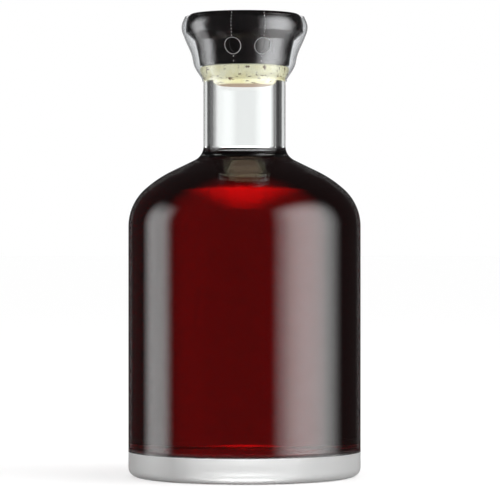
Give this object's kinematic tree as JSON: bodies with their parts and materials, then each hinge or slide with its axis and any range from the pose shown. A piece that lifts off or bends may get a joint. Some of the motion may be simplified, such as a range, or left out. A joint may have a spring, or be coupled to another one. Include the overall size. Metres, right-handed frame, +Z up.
{
  "type": "liqueur bottle",
  "caption": "Round clear glass liqueur bottle with a heavy base and wide shoulder, filled with dark red liqueur and closed by a dark-headed cork stopper under a clear film seal.",
  "frame": {"origin": "centre of the base, on the surface that the bottle stands on", "axes": "+Z up along the bottle's axis, -Y towards the front with the tear strip of the film, +X to the right seen from the front"},
  "size_m": [0.0872, 0.0872, 0.1736],
  "materials": {
    "clear_glass": "clear, smooth, fire-polished",
    "red_liqueur": "deep red clear liquid, glossy where it meets air",
    "natural_cork": "pale natural cork with brown pores",
    "dark_lacquer": "near-black brown, satin gloss",
    "clear_film": "clear shrink film, glossy, slightly wrinkled"
  },
  "bodies": {
    "bottle": {"bottle_glass": "clear_glass", "liqueur": "red_liqueur", "shrink_seal": "clear_film"},
    "stopper": {"stopper_head": "dark_lacquer", "cork_shank": "natural_cork"}
  },
  "joints": [
    {"name": "stopper_pull", "type": "slide", "parent": "bottle", "child": "stopper", "axis": [0, 0, 1], "range_m": [0, 0.04]}
  ]
}
